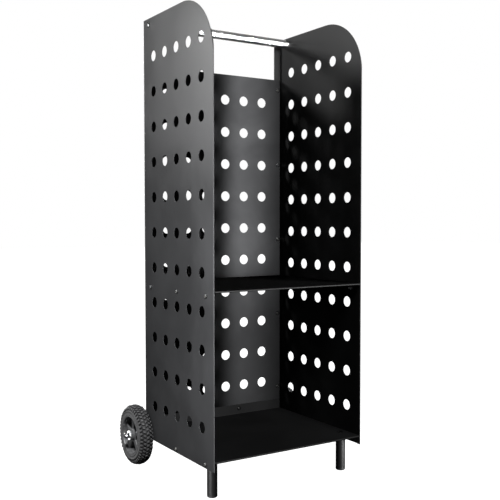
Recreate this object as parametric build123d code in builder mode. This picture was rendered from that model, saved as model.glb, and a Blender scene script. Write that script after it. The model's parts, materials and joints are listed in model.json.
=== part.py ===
from build123d import *
from math import cos, sin, radians
import os

# ---------------------------------------------------------------------------
# Two-tier wheeled log trolley in perforated, powder-coated sheet steel.
# Frame: origin at the centre of the bounding box on the ground plane,
# -Y is the open front, +X is to the right of a person who stands at the
# open front and looks in, +Z is up.  All sizes in millimetres.
# Left-hand pieces lie at -X; right-hand pieces are their mirror images.
# ---------------------------------------------------------------------------

# sheet-metal body
sheet = 1.0                # thickness of panels and shelves
body_w = 383.0             # over the outer faces of the side panels
panel_d = 325.0            # side panel, front to rear
panel_h = 970.0            # side panel, bottom to top
ground_gap = 66.0          # side panel's bottom edge above the ground
hem_w = 11.0               # closed hem on the side panel's front edge
hem_gap = 0.5              # air gap inside the hem
perforation_d = 24.0

# wheels and axle, as far as they place the body
wheel_r = 70.0
tyre_w = 33.0
wheel_gap = 2.0            # tyre to side panel
axle_d = 10.0
axle_behind = 14.0         # axle behind the panels' rear edge

# tube shared by the handle and the front legs
tube_d, tube_wall = 22.0, 1.5
plug_r = tube_d / 2 - tube_wall - 0.02
plug_chamfer = 0.8

# fasteners
m5_hole, m5_shank, m5_head_d, m5_head_h = 5.5, 5.0, 9.0, 2.8
m5_nut_flats, m5_nut_h = 8.0, 4.0
m6_hole, m6_shank = 6.5, 6.0
thread_gap = 0.05          # radial gap round a screw in a nut or plug
hex_socket_r = 2.3         # to the corners of the hexagon

# cutting tools
clear = 1.0                # start outside the material
sheet_cut = 4.0            # length of a cut through a sheet

# main planes of the body
outer_x = body_w / 2                              # outer face of a side panel
inner_x = outer_x - sheet                         # inner face of a side panel
front_y = -(panel_d + axle_behind + wheel_r) / 2  # front edge of the side panels
rear_y = front_y + panel_d                        # rear edge of the side panels
bottom_z = ground_gap
top_z = bottom_z + panel_h
axle_y, axle_z = rear_y + axle_behind, wheel_r
back_y = rear_y - sheet                           # back panel's rear face

# shelf surfaces
mid_z = bottom_z + 367.0
low_z = bottom_z + 20.5
shelf_rear_y = back_y - sheet - 0.2               # just in front of the back panel

# handle axis and front leg axes
handle_y = rear_y - 28.0
handle_z = top_z - 13.8
leg_x, leg_y = 170.0, front_y + 45.6
leg_places = [(-leg_x, leg_y), (leg_x, leg_y)]

# screw places: (y, z) through a side panel, (x, z) through the back panel
mid_screw_places = [(front_y + y, mid_z - 12.0) for y in (31, 161, 293)]
low_screw_places = [(front_y + y, bottom_z + 7.5) for y in (35.5, 167.6)]

back_screw_x = inner_x - 7.5
back_screw_top, back_screw_pitch = 842.6, 191.4   # above the panel's bottom edge
back_screw_z = [bottom_z + back_screw_top - back_screw_pitch * i for i in range(5)]
back_screw_places = [(side * back_screw_x, z) for side in (-1, 1) for z in back_screw_z]

# these two go through bottom shelf, back panel and axle carrier together
carrier_screw_x = inner_x - 126.0
carrier_screw_z = bottom_z + 34.0
carrier_screw_places = [(-carrier_screw_x, carrier_screw_z), (carrier_screw_x, carrier_screw_z)]

os.makedirs("parts", exist_ok=True)


def save(name, part):
    """Label one finished piece and write its STEP file."""
    part.label = name
    export_step(part, "parts/" + name + ".step")


def mirrored(part):
    """The right-hand twin of a left-hand piece."""
    with BuildPart() as twin:
        add(part)
        mirror(about=Plane.YZ, mode=Mode.REPLACE)
    return twin.part


def save_pair(name, left_part):
    """Write a left-hand piece and its right-hand twin."""
    save(name + "_left", left_part)
    save(name + "_right", mirrored(left_part))


# ---------------------------------------------------------------------------
# side panels: plate, closed hem on the front edge, inward flange at the rear
# ---------------------------------------------------------------------------
corner_r = 132.0           # rounded top front corner
flange_w = 18.4            # inward rear flange
panel_bend_r = 1.4         # outer bend radius at the rear
side_cols, side_rows = 5, 11
side_pitch_y, side_pitch_z = 56.0, 80.0
side_col_front = 49.4      # front column behind the front edge
side_row_top = 881.7       # top row above the panel's bottom edge


def side_panel_left():
    fold_r = (2 * sheet + hem_gap) / 2            # outer radius of the hem's fold
    fold_y = front_y + fold_r
    return_x = -inner_x + hem_gap                 # hem return, face next to the plate
    bend_y = rear_y - panel_bend_r
    bend_x = -outer_x + panel_bend_r
    flange_x = -outer_x + flange_w
    cut_plane = Plane.YZ.offset(-outer_x - clear)
    with BuildPart() as panel:
        # folded plan section: hem return, fold, plate, bend, rear flange
        with BuildSketch(Plane.XY.offset(bottom_z)):
            with BuildLine():
                Polyline(
                    (return_x, front_y + hem_w),
                    (return_x + sheet, front_y + hem_w),
                    (return_x + sheet, fold_y),
                )
                ThreePointArc(
                    (return_x + sheet, fold_y), (-outer_x + fold_r, front_y), (-outer_x, fold_y)
                )
                Line((-outer_x, fold_y), (-outer_x, bend_y))
                RadiusArc((-outer_x, bend_y), (bend_x, rear_y), panel_bend_r)
                Polyline(
                    (bend_x, rear_y),
                    (flange_x, rear_y),
                    (flange_x, rear_y - sheet),
                    (-inner_x + panel_bend_r - sheet, rear_y - sheet),
                )
                RadiusArc(
                    (-inner_x + panel_bend_r - sheet, rear_y - sheet),
                    (-inner_x, bend_y),
                    -(panel_bend_r - sheet),
                )
                Line((-inner_x, bend_y), (-inner_x, fold_y))
                ThreePointArc(
                    (-inner_x, fold_y),
                    (-inner_x + hem_gap / 2, fold_y - hem_gap / 2),
                    (return_x, fold_y),
                )
                Line((return_x, fold_y), (return_x, front_y + hem_w))
            make_face()
        extrude(amount=panel_h)
        # rounded top front corner, cut through plate and hem
        with BuildSketch(cut_plane):
            with BuildLine():
                Polyline((front_y - clear, top_z - corner_r), (front_y, top_z - corner_r))
                RadiusArc((front_y, top_z - corner_r), (front_y + corner_r, top_z), corner_r)
                Polyline(
                    (front_y + corner_r, top_z),
                    (front_y + corner_r, top_z + clear),
                    (front_y - clear, top_z + clear),
                    (front_y - clear, top_z - corner_r),
                )
            make_face()
        extrude(amount=8, mode=Mode.SUBTRACT)
        # perforation
        grid_y = front_y + side_col_front + side_pitch_y * (side_cols - 1) / 2
        grid_z = bottom_z + side_row_top - side_pitch_z * (side_rows - 1) / 2
        with BuildSketch(cut_plane):
            with Locations((grid_y, grid_z)):
                with GridLocations(side_pitch_y, side_pitch_z, side_cols, side_rows):
                    Circle(perforation_d / 2)
        extrude(amount=sheet_cut, mode=Mode.SUBTRACT)
        # screw holes through the plate
        with BuildSketch(cut_plane):
            with Locations(*mid_screw_places, *low_screw_places):
                Circle(m5_hole / 2)
            with Locations((handle_y, handle_z)):
                Circle(m6_hole / 2)
        extrude(amount=sheet_cut, mode=Mode.SUBTRACT)
        # screw holes through the rear flange
        with BuildSketch(Plane.XZ.offset(-rear_y - clear)):
            with Locations(*[(-back_screw_x, z) for z in back_screw_z]):
                Circle(m5_hole / 2)
        extrude(amount=sheet_cut, mode=Mode.SUBTRACT)
    return panel.part


save_pair("side_panel", side_panel_left())

# ---------------------------------------------------------------------------
# back panel: flat perforated sheet in front of the rear flanges
# ---------------------------------------------------------------------------
back_w = 2 * (inner_x - 0.6)
back_bottom_z, back_top_z = bottom_z + 2.0, bottom_z + 868.7
back_cols, back_rows = 6, 10
back_pitch_x, back_pitch_z = 53.6, 79.3
back_row_top = 807.0       # top row above the side panel's bottom edge


def back_panel():
    grid_z = bottom_z + back_row_top - back_pitch_z * (back_rows - 1) / 2
    with BuildPart() as panel:
        with BuildSketch(Plane.XZ.offset(-back_y)):
            with Locations((0, (back_bottom_z + back_top_z) / 2)):
                Rectangle(back_w, back_top_z - back_bottom_z)
            with Locations((0, grid_z)):
                with GridLocations(back_pitch_x, back_pitch_z, back_cols, back_rows):
                    Circle(perforation_d / 2, mode=Mode.SUBTRACT)
            with Locations(*back_screw_places, *carrier_screw_places):
                Circle(m5_hole / 2, mode=Mode.SUBTRACT)
        extrude(amount=sheet)
    return panel.part


save("back_panel", back_panel())

# ---------------------------------------------------------------------------
# shelves: plate with a rolled front edge, side flanges down, rear flange
# ---------------------------------------------------------------------------
roll_h = 4.0               # rolled front edge, height
roll_return = 11.0         # its lower leg ends this far behind the front edge
shelf_bend_r = 1.5         # outer bend radius of the flanges
shelf_bend_in = shelf_bend_r - sheet
plate_end_y = shelf_rear_y - shelf_bend_r - 0.1   # the rear flange's section starts here
notch_y = front_y + hem_w + 2.0                   # narrower in front, to clear the hems
notch_x = inner_x - hem_gap - sheet - 0.7
rear_flange_x = inner_x - 2                       # rear flange stops short of the side flanges


def shelf_front_section(surface_z):
    """Plate and its rolled front edge, in local YZ coordinates."""
    roll_r = roll_h / 2
    roll_y, roll_z = front_y + roll_r, surface_z - roll_r
    under_z = surface_z - roll_h
    with BuildSketch() as outline:
        with BuildLine():
            Line((plate_end_y, surface_z), (roll_y, surface_z))
            RadiusArc((roll_y, surface_z), (front_y, roll_z), -roll_r)
            RadiusArc((front_y, roll_z), (roll_y, under_z), -roll_r)
            Polyline(
                (roll_y, under_z),
                (front_y + roll_return, under_z),
                (front_y + roll_return, under_z + sheet),
                (roll_y, under_z + sheet),
            )
            RadiusArc((roll_y, under_z + sheet), (front_y + sheet, roll_z), roll_r - sheet)
            RadiusArc((front_y + sheet, roll_z), (roll_y, surface_z - sheet), roll_r - sheet)
            Polyline(
                (roll_y, surface_z - sheet), (plate_end_y, surface_z - sheet),
                (plate_end_y, surface_z),
            )
        make_face()
    return outline.sketch_local


def shelf_side_section(surface_z, drop):
    """Plate with both side flanges turned down, in local XZ coordinates."""
    flat_x, flange_in_x = inner_x - shelf_bend_r, inner_x - sheet
    bend_z, end_z = surface_z - shelf_bend_r, surface_z - drop
    under_z = surface_z - sheet
    with BuildSketch() as outline:
        with BuildLine():
            Line((-flat_x, surface_z), (flat_x, surface_z))
            RadiusArc((flat_x, surface_z), (inner_x, bend_z), shelf_bend_r)
            Polyline(
                (inner_x, bend_z), (inner_x, end_z), (flange_in_x, end_z), (flange_in_x, bend_z)
            )
            RadiusArc((flange_in_x, bend_z), (flat_x, under_z), -shelf_bend_in)
            Line((flat_x, under_z), (-flat_x, under_z))
            RadiusArc((-flat_x, under_z), (-flange_in_x, bend_z), -shelf_bend_in)
            Polyline(
                (-flange_in_x, bend_z), (-flange_in_x, end_z), (-inner_x, end_z),
                (-inner_x, bend_z),
            )
            RadiusArc((-inner_x, bend_z), (-flat_x, surface_z), shelf_bend_r)
        make_face()
    return outline.sketch_local


def shelf_rear_section(surface_z, reach, turned_up):
    """Bend and flange along the rear edge, in local YZ coordinates."""
    way = 1 if turned_up else -1
    under_z = surface_z - sheet
    bend_out_z, bend_in_z = (under_z, surface_z) if turned_up else (surface_z, under_z)
    bend_y = shelf_rear_y - shelf_bend_r
    flange_z = bend_out_z + way * shelf_bend_r    # flange leaves the bend here
    end_z = surface_z + way * reach
    along, rise = sin(radians(45)), 1 - cos(radians(45))    # middle of a unit bend
    with BuildSketch() as outline:
        with BuildLine():
            Line((plate_end_y, bend_out_z), (bend_y, bend_out_z))
            ThreePointArc(
                (bend_y, bend_out_z),
                (bend_y + shelf_bend_r * along, bend_out_z + way * shelf_bend_r * rise),
                (shelf_rear_y, flange_z),
            )
            Polyline(
                (shelf_rear_y, flange_z),
                (shelf_rear_y, end_z),
                (shelf_rear_y - sheet, end_z),
                (shelf_rear_y - sheet, flange_z),
            )
            ThreePointArc(
                (shelf_rear_y - sheet, flange_z),
                (bend_y + shelf_bend_in * along, bend_in_z + way * shelf_bend_in * rise),
                (bend_y, bend_in_z),
            )
            Polyline((bend_y, bend_in_z), (plate_end_y, bend_in_z), (plate_end_y, bend_out_z))
        make_face()
    return outline.sketch_local


def folded_shelf(surface_z, side_drop, rear_reach, rear_up, screw_places):
    """A shelf with the screw holes in its side flanges."""
    with BuildPart() as shelf:
        with BuildSketch(Plane.YZ.offset(-notch_x)):
            add(shelf_front_section(surface_z))
        extrude(amount=2 * notch_x)
        with BuildSketch(Plane.XZ.offset(-notch_y)):
            add(shelf_side_section(surface_z, side_drop))
        extrude(amount=-(plate_end_y - notch_y))
        with BuildSketch(Plane.YZ.offset(-rear_flange_x)):
            add(shelf_rear_section(surface_z, rear_reach, rear_up))
        extrude(amount=2 * rear_flange_x)
        with BuildSketch(Plane.YZ.offset(-inner_x - clear)):
            with Locations(*screw_places):
                Circle(m5_hole / 2)
        extrude(amount=2 * (inner_x + clear), mode=Mode.SUBTRACT)
    return shelf.part


def mid_shelf():
    return folded_shelf(
        mid_z, side_drop=22.0, rear_reach=18.0, rear_up=False, screw_places=mid_screw_places
    )


def bottom_shelf():
    with BuildPart() as shelf:
        add(folded_shelf(
            low_z, side_drop=20.0, rear_reach=23.5, rear_up=True, screw_places=low_screw_places
        ))
        # holes through the upturned rear flange
        with BuildSketch(Plane.XZ.offset(-shelf_rear_y - clear)):
            with Locations(*carrier_screw_places):
                Circle(m5_hole / 2)
        extrude(amount=sheet_cut, mode=Mode.SUBTRACT)
        # holes for the bolts that hold the front legs
        with BuildSketch(Plane.XY.offset(low_z + clear)):
            with Locations(*leg_places):
                Circle(m6_hole / 2)
        extrude(amount=-sheet_cut, mode=Mode.SUBTRACT)
    return shelf.part


save("mid_shelf", mid_shelf())
save("bottom_shelf", bottom_shelf())


# ---------------------------------------------------------------------------
# handle: tube between the side panels, a threaded plug in each end
# ---------------------------------------------------------------------------
def threaded_plug(mouth, centre, run, axis, deep_end):
    """Bored plug from the tube's mouth; its deep end is first (0) or last (-1) along the axis."""
    with BuildPart() as plug:
        with BuildSketch(mouth):
            with Locations(centre):
                Circle(plug_r)
                Circle(m6_shank / 2 + thread_gap, mode=Mode.SUBTRACT)
        extrude(amount=run)
        chamfer(plug.faces().sort_by(axis)[deep_end].edges(), plug_chamfer)
    return plug.part


def handle_tube():
    with BuildPart() as tube:
        with BuildSketch(Plane.YZ.offset(-inner_x)):
            with Locations((handle_y, handle_z)):
                Circle(tube_d / 2)
                Circle(tube_d / 2 - tube_wall, mode=Mode.SUBTRACT)
        extrude(amount=2 * inner_x)
        # outer rims of both ends
        rims = tube.edges().filter_by(GeomType.CIRCLE)
        chamfer(rims.filter_by(lambda edge: edge.radius > tube_d / 2 - 0.1), 0.3)
    return tube.part


def handle_plug_left():
    return threaded_plug(
        Plane.YZ.offset(-inner_x), (handle_y, handle_z), run=24, axis=Axis.X, deep_end=-1
    )


def handle_screw_left():
    """Mushroom-head screw turned about the handle's axis."""
    head_r, head_h, head_rim = 6.6, 3.6, 0.8
    shank_r, shank_len, tip = m6_shank / 2, 18, 0.6
    socket_clear, socket_depth = 0.5, 2.1

    def at(x, radius):
        """x from the side panel's outer face, positive inwards."""
        return (-outer_x + x, handle_z + radius)

    with BuildPart() as screw:
        with BuildSketch(Plane.XZ.offset(-handle_y)):
            with BuildLine():
                Line(at(0, 0), at(shank_len, 0))
                Polyline(
                    at(shank_len, 0), at(shank_len, shank_r - tip), at(shank_len - tip, shank_r),
                    at(0, shank_r), at(0, head_r), at(-head_rim, head_r),
                )
                ThreePointArc(at(-head_rim, head_r), at(-2.871, 3.585), at(-head_h, 0))
                Line(at(-head_h, 0), at(0, 0))
            make_face()
        revolve(axis=Axis((0, handle_y, handle_z), (1, 0, 0)), revolution_arc=360)
        # hexagon socket
        with BuildSketch(Plane.YZ.offset(-outer_x - head_h - socket_clear)):
            with Locations((handle_y, handle_z)):
                RegularPolygon(radius=hex_socket_r, side_count=6)
        extrude(amount=socket_depth + socket_clear, mode=Mode.SUBTRACT)
    return screw.part


save("handle_tube", handle_tube())
save_pair("handle_plug", handle_plug_left())
save_pair("handle_screw", handle_screw_left())

# ---------------------------------------------------------------------------
# front legs: tube, threaded plug at the top, bolt through the shelf, foot cap
# ---------------------------------------------------------------------------
leg_top_z = low_z - sheet
cap_h = 5.0                # foot cap below the tube
stem_len = 14              # foot cap's stem inside the tube


def front_leg_left():
    with BuildPart() as leg:
        with BuildSketch(Plane.XY.offset(cap_h)):
            with Locations(leg_places[0]):
                Circle(tube_d / 2)
                Circle(tube_d / 2 - tube_wall, mode=Mode.SUBTRACT)
        extrude(amount=leg_top_z - cap_h)
    return leg.part


def leg_plug_left():
    return threaded_plug(
        Plane.XY.offset(leg_top_z), leg_places[0], run=-22, axis=Axis.Z, deep_end=0
    )


def leg_bolts():
    head_r, head_h, head_fillet = 6.0, 2.6, 1.6
    shank_len = 18
    socket_clear, socket_depth = 0.4, 1.8
    with BuildPart() as bolts:
        with BuildSketch(Plane.XY.offset(low_z)):
            with Locations(*leg_places):
                Circle(head_r)
        extrude(amount=head_h)
        fillet(bolts.faces().group_by(Axis.Z)[-1].edges(), head_fillet)
        with BuildSketch(Plane.XY.offset(low_z)):
            with Locations(*leg_places):
                Circle(m6_shank / 2)
        extrude(amount=-shank_len)
        # hexagon sockets
        with BuildSketch(Plane.XY.offset(low_z + head_h + socket_clear)):
            with Locations(*leg_places):
                RegularPolygon(radius=hex_socket_r, side_count=6)
        extrude(amount=-(socket_depth + socket_clear), mode=Mode.SUBTRACT)
    return bolts.part


def foot_cap_left():
    stem_wall, hollow_depth = 2.2, 13
    with BuildPart() as cap:
        with BuildSketch(Plane.XY):
            with Locations(leg_places[0]):
                Circle(tube_d / 2)
        extrude(amount=cap_h)
        fillet(cap.faces().sort_by(Axis.Z)[0].edges(), 3.2)
        with BuildSketch(Plane.XY.offset(cap_h)):
            with Locations(leg_places[0]):
                Circle(plug_r)
        extrude(amount=stem_len)
        chamfer(cap.faces().sort_by(Axis.Z)[-1].edges(), 1.0)
        # moulded hollow stem
        with BuildSketch(Plane.XY.offset(cap_h + stem_len)):
            with Locations(leg_places[0]):
                Circle(plug_r - stem_wall)
        extrude(amount=-hollow_depth, mode=Mode.SUBTRACT)
    return cap.part


save_pair("front_leg", front_leg_left())
save_pair("leg_plug", leg_plug_left())
save("leg_bolts", leg_bolts())
save_pair("foot_cap", foot_cap_left())

# ---------------------------------------------------------------------------
# axle and its carrier
# ---------------------------------------------------------------------------
wheel_in_x = outer_x + wheel_gap                  # tyre's inner face
wheel_mid_x = wheel_in_x + tyre_w / 2
wheel_out_x = wheel_in_x + tyre_w
hub_proud = 0.3                                   # hub stands beyond the tyre's faces
hub_in_x, hub_out_x = wheel_in_x - hub_proud, wheel_out_x + hub_proud

ear_x = 171.0                                     # outer face of a carrier ear
carrier_t = 2.0
carrier_bottom_z, carrier_top_z = 57.0, bottom_z + 46.0
ear_round = 13.0                                  # ear's radius round the axle

washer_t = 1.5
washer_play = 0.3                                 # hub to washer
axle_gap = 0.15                                   # radial gap in washers and ears
stud_d = 8.0                                      # reduced ends of the axle
nut_x = hub_out_x + washer_play + washer_t        # seat of the cap nut
inner_washer_x = hub_in_x - washer_play           # outer face of the inner washer
axle_axis = Axis((0, axle_y, axle_z), (1, 0, 0))


def axle_carrier():
    """Folded plate with two ears, behind the back panel."""
    bend_r = 3.0
    web_y, ear_end_y = back_y + carrier_t, axle_y + ear_round
    bend_y, bend_x = back_y + bend_r, ear_x - bend_r
    ear_in_x = ear_x - carrier_t
    bend_in = bend_r - carrier_t
    taper_start = (web_y + 6, carrier_top_z)
    taper_end = (axle_y + 5.0, axle_z + 12.0)     # on the round about the axle
    with BuildPart() as carrier:
        with BuildSketch(Plane.XY.offset(carrier_bottom_z)):
            with BuildLine():
                Line((-bend_x, back_y), (bend_x, back_y))
                RadiusArc((bend_x, back_y), (ear_x, bend_y), -bend_r)
                Polyline(
                    (ear_x, bend_y), (ear_x, ear_end_y), (ear_in_x, ear_end_y), (ear_in_x, bend_y)
                )
                RadiusArc((ear_in_x, bend_y), (bend_x, web_y), bend_in)
                Line((bend_x, web_y), (-bend_x, web_y))
                RadiusArc((-bend_x, web_y), (-ear_in_x, bend_y), bend_in)
                Polyline(
                    (-ear_in_x, bend_y), (-ear_in_x, ear_end_y), (-ear_x, ear_end_y),
                    (-ear_x, bend_y),
                )
                RadiusArc((-ear_x, bend_y), (-bend_x, back_y), -bend_r)
            make_face()
        extrude(amount=carrier_top_z - carrier_bottom_z)
        # ears taper round the axle
        with BuildSketch(Plane.YZ.offset(-ear_x - clear)):
            with BuildLine():
                Polyline(
                    taper_start, (ear_end_y + clear, carrier_top_z + clear),
                    (ear_end_y + clear, axle_z), (ear_end_y, axle_z),
                )
                RadiusArc((ear_end_y, axle_z), taper_end, -ear_round)
                Line(taper_end, taper_start)
            make_face()
        extrude(amount=2 * (ear_x + clear), mode=Mode.SUBTRACT)
        with BuildSketch(Plane.YZ.offset(-ear_x - clear)):
            with Locations((axle_y, axle_z)):
                Circle(axle_d / 2 + axle_gap)
        extrude(amount=2 * (ear_x + clear), mode=Mode.SUBTRACT)
        with BuildSketch(Plane.XZ.offset(-back_y + clear)):
            with Locations(*carrier_screw_places):
                Circle(m5_hole / 2)
        extrude(amount=-6, mode=Mode.SUBTRACT)
    return carrier.part


def axle_rod():
    step_x = nut_x - 0.6                          # full diameter ends inside the washer
    end_x = nut_x + 9.0
    with BuildPart() as rod:
        with BuildSketch(Plane.YZ.offset(-step_x)):
            with Locations((axle_y, axle_z)):
                Circle(axle_d / 2)
        extrude(amount=2 * step_x)
        with BuildSketch(Plane.YZ.offset(-end_x)):
            with Locations((axle_y, axle_z)):
                Circle(stud_d / 2)
        extrude(amount=2 * end_x)
        chamfer(rod.faces().sort_by(Axis.X)[0].edges(), 0.8)
        chamfer(rod.faces().sort_by(Axis.X)[-1].edges(), 0.8)
    return rod.part


def axle_rings(face_x, length, outer_r, gap, edge_chamfer=None):
    """A ring on each side of the trolley, running inwards from its outer face."""
    with BuildPart() as rings:
        with BuildSketch(Plane.YZ.offset(-face_x)):
            with Locations((axle_y, axle_z)):
                Circle(outer_r)
                Circle(axle_d / 2 + gap, mode=Mode.SUBTRACT)
        extrude(amount=length)
        if edge_chamfer:
            outer_face = rings.faces().sort_by(Axis.X)[0]
            chamfer(outer_face.edges().sort_by(SortBy.LENGTH)[-1], edge_chamfer)
        mirror(about=Plane.YZ)
    return rings.part


def axle_spacers():
    """Sleeves between the carrier ears and the inner washers."""
    face_x = inner_washer_x - washer_t
    return axle_rings(face_x, face_x - ear_x, outer_r=7.5, gap=0.1)


def axle_cap_nut_left():
    nut_len, hex_len, flats = 12.0, 6.5, 13.0
    dome_base, dome_side, dome_r = 3.0, 7.4, 5.9
    tip_r = 0.8                                   # small flat at the dome's tip

    def at(x, radius):
        """x outwards from the nut's seat."""
        return (-nut_x - x, axle_z + radius)

    with BuildPart() as nut:
        # dome
        with BuildSketch(Plane.XZ.offset(-axle_y)):
            with BuildLine():
                Polyline(at(dome_base, 0), at(dome_base, dome_r), at(dome_side, dome_r))
                ThreePointArc(at(dome_side, dome_r), at(10.72, 3.74), at(nut_len, tip_r))
                Polyline(at(nut_len, tip_r), at(nut_len, 0), at(dome_base, 0))
            make_face()
        revolve(axis=axle_axis, revolution_arc=360)
        # hexagon with its outer corners turned off
        with BuildSketch(Plane.YZ.offset(-nut_x)):
            with Locations((axle_y, axle_z)):
                RegularPolygon(radius=flats / 2, side_count=6, major_radius=False)
        extrude(amount=-hex_len)
        with BuildSketch(Plane.XZ.offset(-axle_y)):
            with BuildLine():
                Polyline(at(6.6, 6.1), at(6.6, 9.0), at(4.9, 9.0), at(6.6, 6.1))
            make_face()
        revolve(axis=axle_axis, revolution_arc=360, mode=Mode.SUBTRACT)
        # blind thread
        with BuildSketch(Plane.YZ.offset(-nut_x)):
            with Locations((axle_y, axle_z)):
                Circle(stud_d / 2 + 0.06)
        extrude(amount=-9.6, mode=Mode.SUBTRACT)
    return nut.part


save("axle_carrier", axle_carrier())
save("axle_rod", axle_rod())
save("axle_spacers", axle_spacers())
save("axle_washers_inner", axle_rings(inner_washer_x, washer_t, outer_r=10.0, gap=axle_gap))
save(
    "axle_washers_outer",
    axle_rings(nut_x, washer_t, outer_r=11.0, gap=axle_gap, edge_chamfer=0.35),
)
save_pair("axle_cap_nut", axle_cap_nut_left())

# ---------------------------------------------------------------------------
# wheels: spoked plastic rim, solid rubber tyre, sleeve bush
# ---------------------------------------------------------------------------
half_w = tyre_w / 2
rim_r = 45.0               # rim lip radius
barrel_r = 41.0            # inner radius of the rim's barrel
lip_w = 3                  # flat top of each rim lip
seat_inset = 5             # tyre seat starts this far in from the wheel's faces
seat_r = rim_r - 1.6
hub_r = 12.0
bush_d = 14.0
bush_bore = 10.12          # running clearance 0.06 on the radius
n_spokes, spoke_w, spoke_t = 5, 9.0, 12.0
spoke_setback = 8.0        # spokes behind the wheel's outer face

tyre_gap = 0.05            # tyre to rim
tyre_wall_r = 56           # tyre's flat side ends here
n_grooves = 36             # tread grooves on each side
groove_len, groove_inset = 9.6, 2.6


def wheel_at(x, radius):
    """Section point; x from the left wheel's middle, positive towards the trolley."""
    return (-wheel_mid_x + x, axle_z + radius)


def rim_left():
    bevel_x, bevel_r = 1.5, 1.2                   # bevel at each end of the barrel's bore
    with BuildPart() as rim:
        # barrel with a lip at each side
        with BuildSketch(Plane.XZ.offset(-axle_y)):
            with BuildLine():
                Polyline(
                    wheel_at(-half_w, barrel_r + bevel_r),
                    wheel_at(-half_w + bevel_x, barrel_r),
                    wheel_at(half_w - bevel_x, barrel_r),
                    wheel_at(half_w, barrel_r + bevel_r),
                    wheel_at(half_w, rim_r),
                    wheel_at(half_w - lip_w, rim_r),
                    wheel_at(half_w - seat_inset, seat_r),
                    wheel_at(-half_w + seat_inset, seat_r),
                    wheel_at(-half_w + lip_w, rim_r),
                    wheel_at(-half_w, rim_r),
                    wheel_at(-half_w, barrel_r + bevel_r),
                )
            make_face()
        revolve(axis=axle_axis, revolution_arc=360)
        # hub
        with BuildSketch(Plane.YZ.offset(-hub_out_x)):
            with Locations((axle_y, axle_z)):
                Circle(hub_r)
        extrude(amount=hub_out_x - hub_in_x)
        # spokes, one of them straight up, overlapping hub and barrel
        with BuildSketch(Plane.YZ.offset(-(wheel_out_x - spoke_setback))):
            with Locations((axle_y, axle_z)):
                with PolarLocations((barrel_r + hub_r) / 2, n_spokes, start_angle=90):
                    Rectangle(barrel_r - hub_r + 4, spoke_w)
        extrude(amount=spoke_t)
        # bore for the bush
        with BuildSketch(Plane.YZ.offset(-hub_out_x - clear)):
            with Locations((axle_y, axle_z)):
                Circle(bush_d / 2 + 0.02)
        extrude(amount=hub_out_x - hub_in_x + 2 * clear, mode=Mode.SUBTRACT)
    return rim.part


def tyre_left():
    lip_x = half_w - lip_w + tyre_gap
    seat_x = half_w - seat_inset + tyre_gap
    with BuildPart() as tyre:
        with BuildSketch(Plane.XZ.offset(-axle_y)):
            with BuildLine():
                # inner surface follows the rim
                Polyline(
                    wheel_at(half_w, rim_r + tyre_gap),
                    wheel_at(lip_x, rim_r + tyre_gap),
                    wheel_at(seat_x, seat_r + tyre_gap),
                    wheel_at(-seat_x, seat_r + tyre_gap),
                    wheel_at(-lip_x, rim_r + tyre_gap),
                    wheel_at(-half_w, rim_r + tyre_gap),
                )
                Line(wheel_at(-half_w, rim_r + tyre_gap), wheel_at(-half_w, tyre_wall_r))
                Spline(
                    wheel_at(-half_w, tyre_wall_r),
                    wheel_at(-half_w + 3.2, 63.6),
                    wheel_at(-half_w + 8.4, 68.6),
                    wheel_at(0, wheel_r),
                    tangents=((0.0, 1.0), (1.0, 0.0)),
                )
                Spline(
                    wheel_at(0, wheel_r),
                    wheel_at(half_w - 8.4, 68.6),
                    wheel_at(half_w - 3.2, 63.6),
                    wheel_at(half_w, tyre_wall_r),
                    tangents=((1.0, 0.0), (0.0, -1.0)),
                )
                Line(wheel_at(half_w, tyre_wall_r), wheel_at(half_w, rim_r + tyre_gap))
            make_face()
        # The seat is cut tyre_gap above the rim's only where the section is revolved.
        revolve(axis=axle_axis, revolution_arc=360)
        # cross grooves of the block tread: outer row, then inner row half a pitch round
        for groove_x, run, start in (
            (-wheel_out_x + groove_inset, groove_len, 90 + 180 / n_grooves),
            (-wheel_in_x - groove_inset, -groove_len, 90),
        ):
            with BuildSketch(Plane.YZ.offset(groove_x)):
                with Locations((axle_y, axle_z)):
                    with PolarLocations(wheel_r - 0.6, n_grooves, start_angle=start):
                        Rectangle(5.2, 4.0)
            extrude(amount=run, mode=Mode.SUBTRACT)
    return tyre.part


def bush_left():
    with BuildPart() as bush:
        with BuildSketch(Plane.YZ.offset(-hub_out_x)):
            with Locations((axle_y, axle_z)):
                Circle(bush_d / 2)
                Circle(bush_bore / 2, mode=Mode.SUBTRACT)
        extrude(amount=hub_out_x - hub_in_x)
    return bush.part


# The tyre's seat corners keep the rim's radii plus the gap.
save_pair("rim", rim_left())
save_pair("tyre", tyre_left())
save_pair("bush", bush_left())


# ---------------------------------------------------------------------------
# M5 screws and nuts
# ---------------------------------------------------------------------------
def cross_screws(seat, into, head_axis, places, shank_len, both_sides=False):
    """Cross-recess screws with heads on the seat plane.

    into is +1 or -1, the shank's direction along the plane's normal.
    The heads face the negative end of head_axis.
    """
    with BuildPart() as screws:
        with BuildSketch(seat):
            with Locations(*places):
                Circle(m5_head_d / 2)
        extrude(amount=-into * m5_head_h)
        fillet(screws.faces().group_by(head_axis)[0].edges(), 1.7)
        with BuildSketch(seat):
            with Locations(*places):
                Circle(m5_shank / 2)
        extrude(amount=into * shank_len)
        with BuildSketch(seat.offset(-into * m5_head_h)):
            with Locations(*places):
                Rectangle(4.6, 1.1)
                Rectangle(1.1, 4.6)
        extrude(amount=into * 1.5, mode=Mode.SUBTRACT)
        if both_sides:
            mirror(about=Plane.YZ)
    return screws.part


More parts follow.
